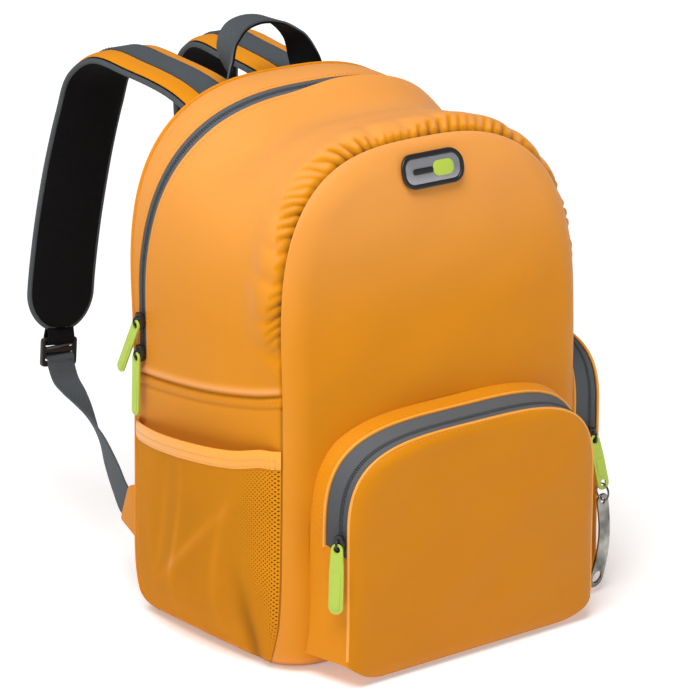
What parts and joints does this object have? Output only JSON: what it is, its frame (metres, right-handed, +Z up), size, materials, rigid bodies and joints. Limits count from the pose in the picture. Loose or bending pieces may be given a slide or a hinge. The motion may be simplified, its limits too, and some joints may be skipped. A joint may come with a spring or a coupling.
{
  "type": "cooler backpack",
  "caption": "Insulated soft cooler backpack: arched zip top, zipped front pocket, zipped and mesh side pockets, padded shoulder straps, haul loop, hanging bottle opener.",
  "frame": {"origin": "middle of the base underside, on the floor", "axes": "+Z up, -Y the front with the large pocket, +Y the back with the straps, +X to the right seen from the front"},
  "size_m": [0.3471, 0.4471, 0.4526],
  "materials": {
    "orange_nylon": "satin",
    "pocket_mesh": "matte",
    "binding_tape": "satin",
    "zip_tape": "matte",
    "grey_webbing": "matte",
    "black_padding": "matte",
    "black_plastic": "satin",
    "badge_plastic": "satin",
    "lime_pull": "satin",
    "bright_steel": "polished"
  },
  "bodies": {
    "bag": {"back_panel": "orange_nylon", "badge_field": "badge_plastic", "badge_rim": "black_plastic", "base_panel": "orange_nylon", "front_panel": "orange_nylon", "front_pocket_face": "orange_nylon", "front_pocket_floor": "orange_nylon", "front_pocket_gusset": "orange_nylon", "front_pocket_pull": "lime_pull", "front_pocket_slider": "black_plastic", "front_pocket_zip": "zip_tape", "haul_loop": "grey_webbing", "haul_loop_lining": "black_padding", "main_zip": "zip_tape", "main_zip_lower_pull": "lime_pull", "main_zip_lower_slider": "black_plastic", "main_zip_upper_pull": "lime_pull", "main_zip_upper_slider": "black_plastic", "mesh_pocket": "pocket_mesh", "mesh_pocket_binding": "binding_tape", "side_panel_left": "orange_nylon", "side_panel_right": "orange_nylon", "side_pocket_face": "orange_nylon", "side_pocket_floor": "orange_nylon", "side_pocket_gusset": "orange_nylon", "side_pocket_pull": "lime_pull", "side_pocket_slider": "black_plastic", "side_pocket_zip": "zip_tape", "split_ring": "bright_steel", "strap_binding_inner_left": "grey_webbing", "strap_binding_inner_right": "grey_webbing", "strap_binding_outer_left": "grey_webbing", "strap_binding_outer_right": "grey_webbing", "strap_buckle_left": "black_plastic", "strap_buckle_right": "black_plastic", "strap_face_left": "orange_nylon", "strap_face_right": "orange_nylon", "strap_face_webbing_left": "grey_webbing", "strap_face_webbing_right": "grey_webbing", "strap_keeper_left": "black_padding", "strap_keeper_right": "black_padding", "strap_pad_left": "black_padding", "strap_pad_right": "black_padding", "strap_tab_left": "orange_nylon", "strap_tab_right": "orange_nylon", "strap_webbing_left": "grey_webbing", "strap_webbing_right": "grey_webbing", "zip_gusset_front": "orange_nylon", "zip_gusset_rear": "orange_nylon"},
    "opener": {"bottle_opener": "bright_steel"}
  },
  "joints": [
    {"name": "opener_swing", "type": "hinge", "parent": "bag", "child": "opener", "pos_m": [0.16756, -0.10127, 0.07755], "axis": [0, -1, 0], "range_deg": [-8, 80]}
  ]
}
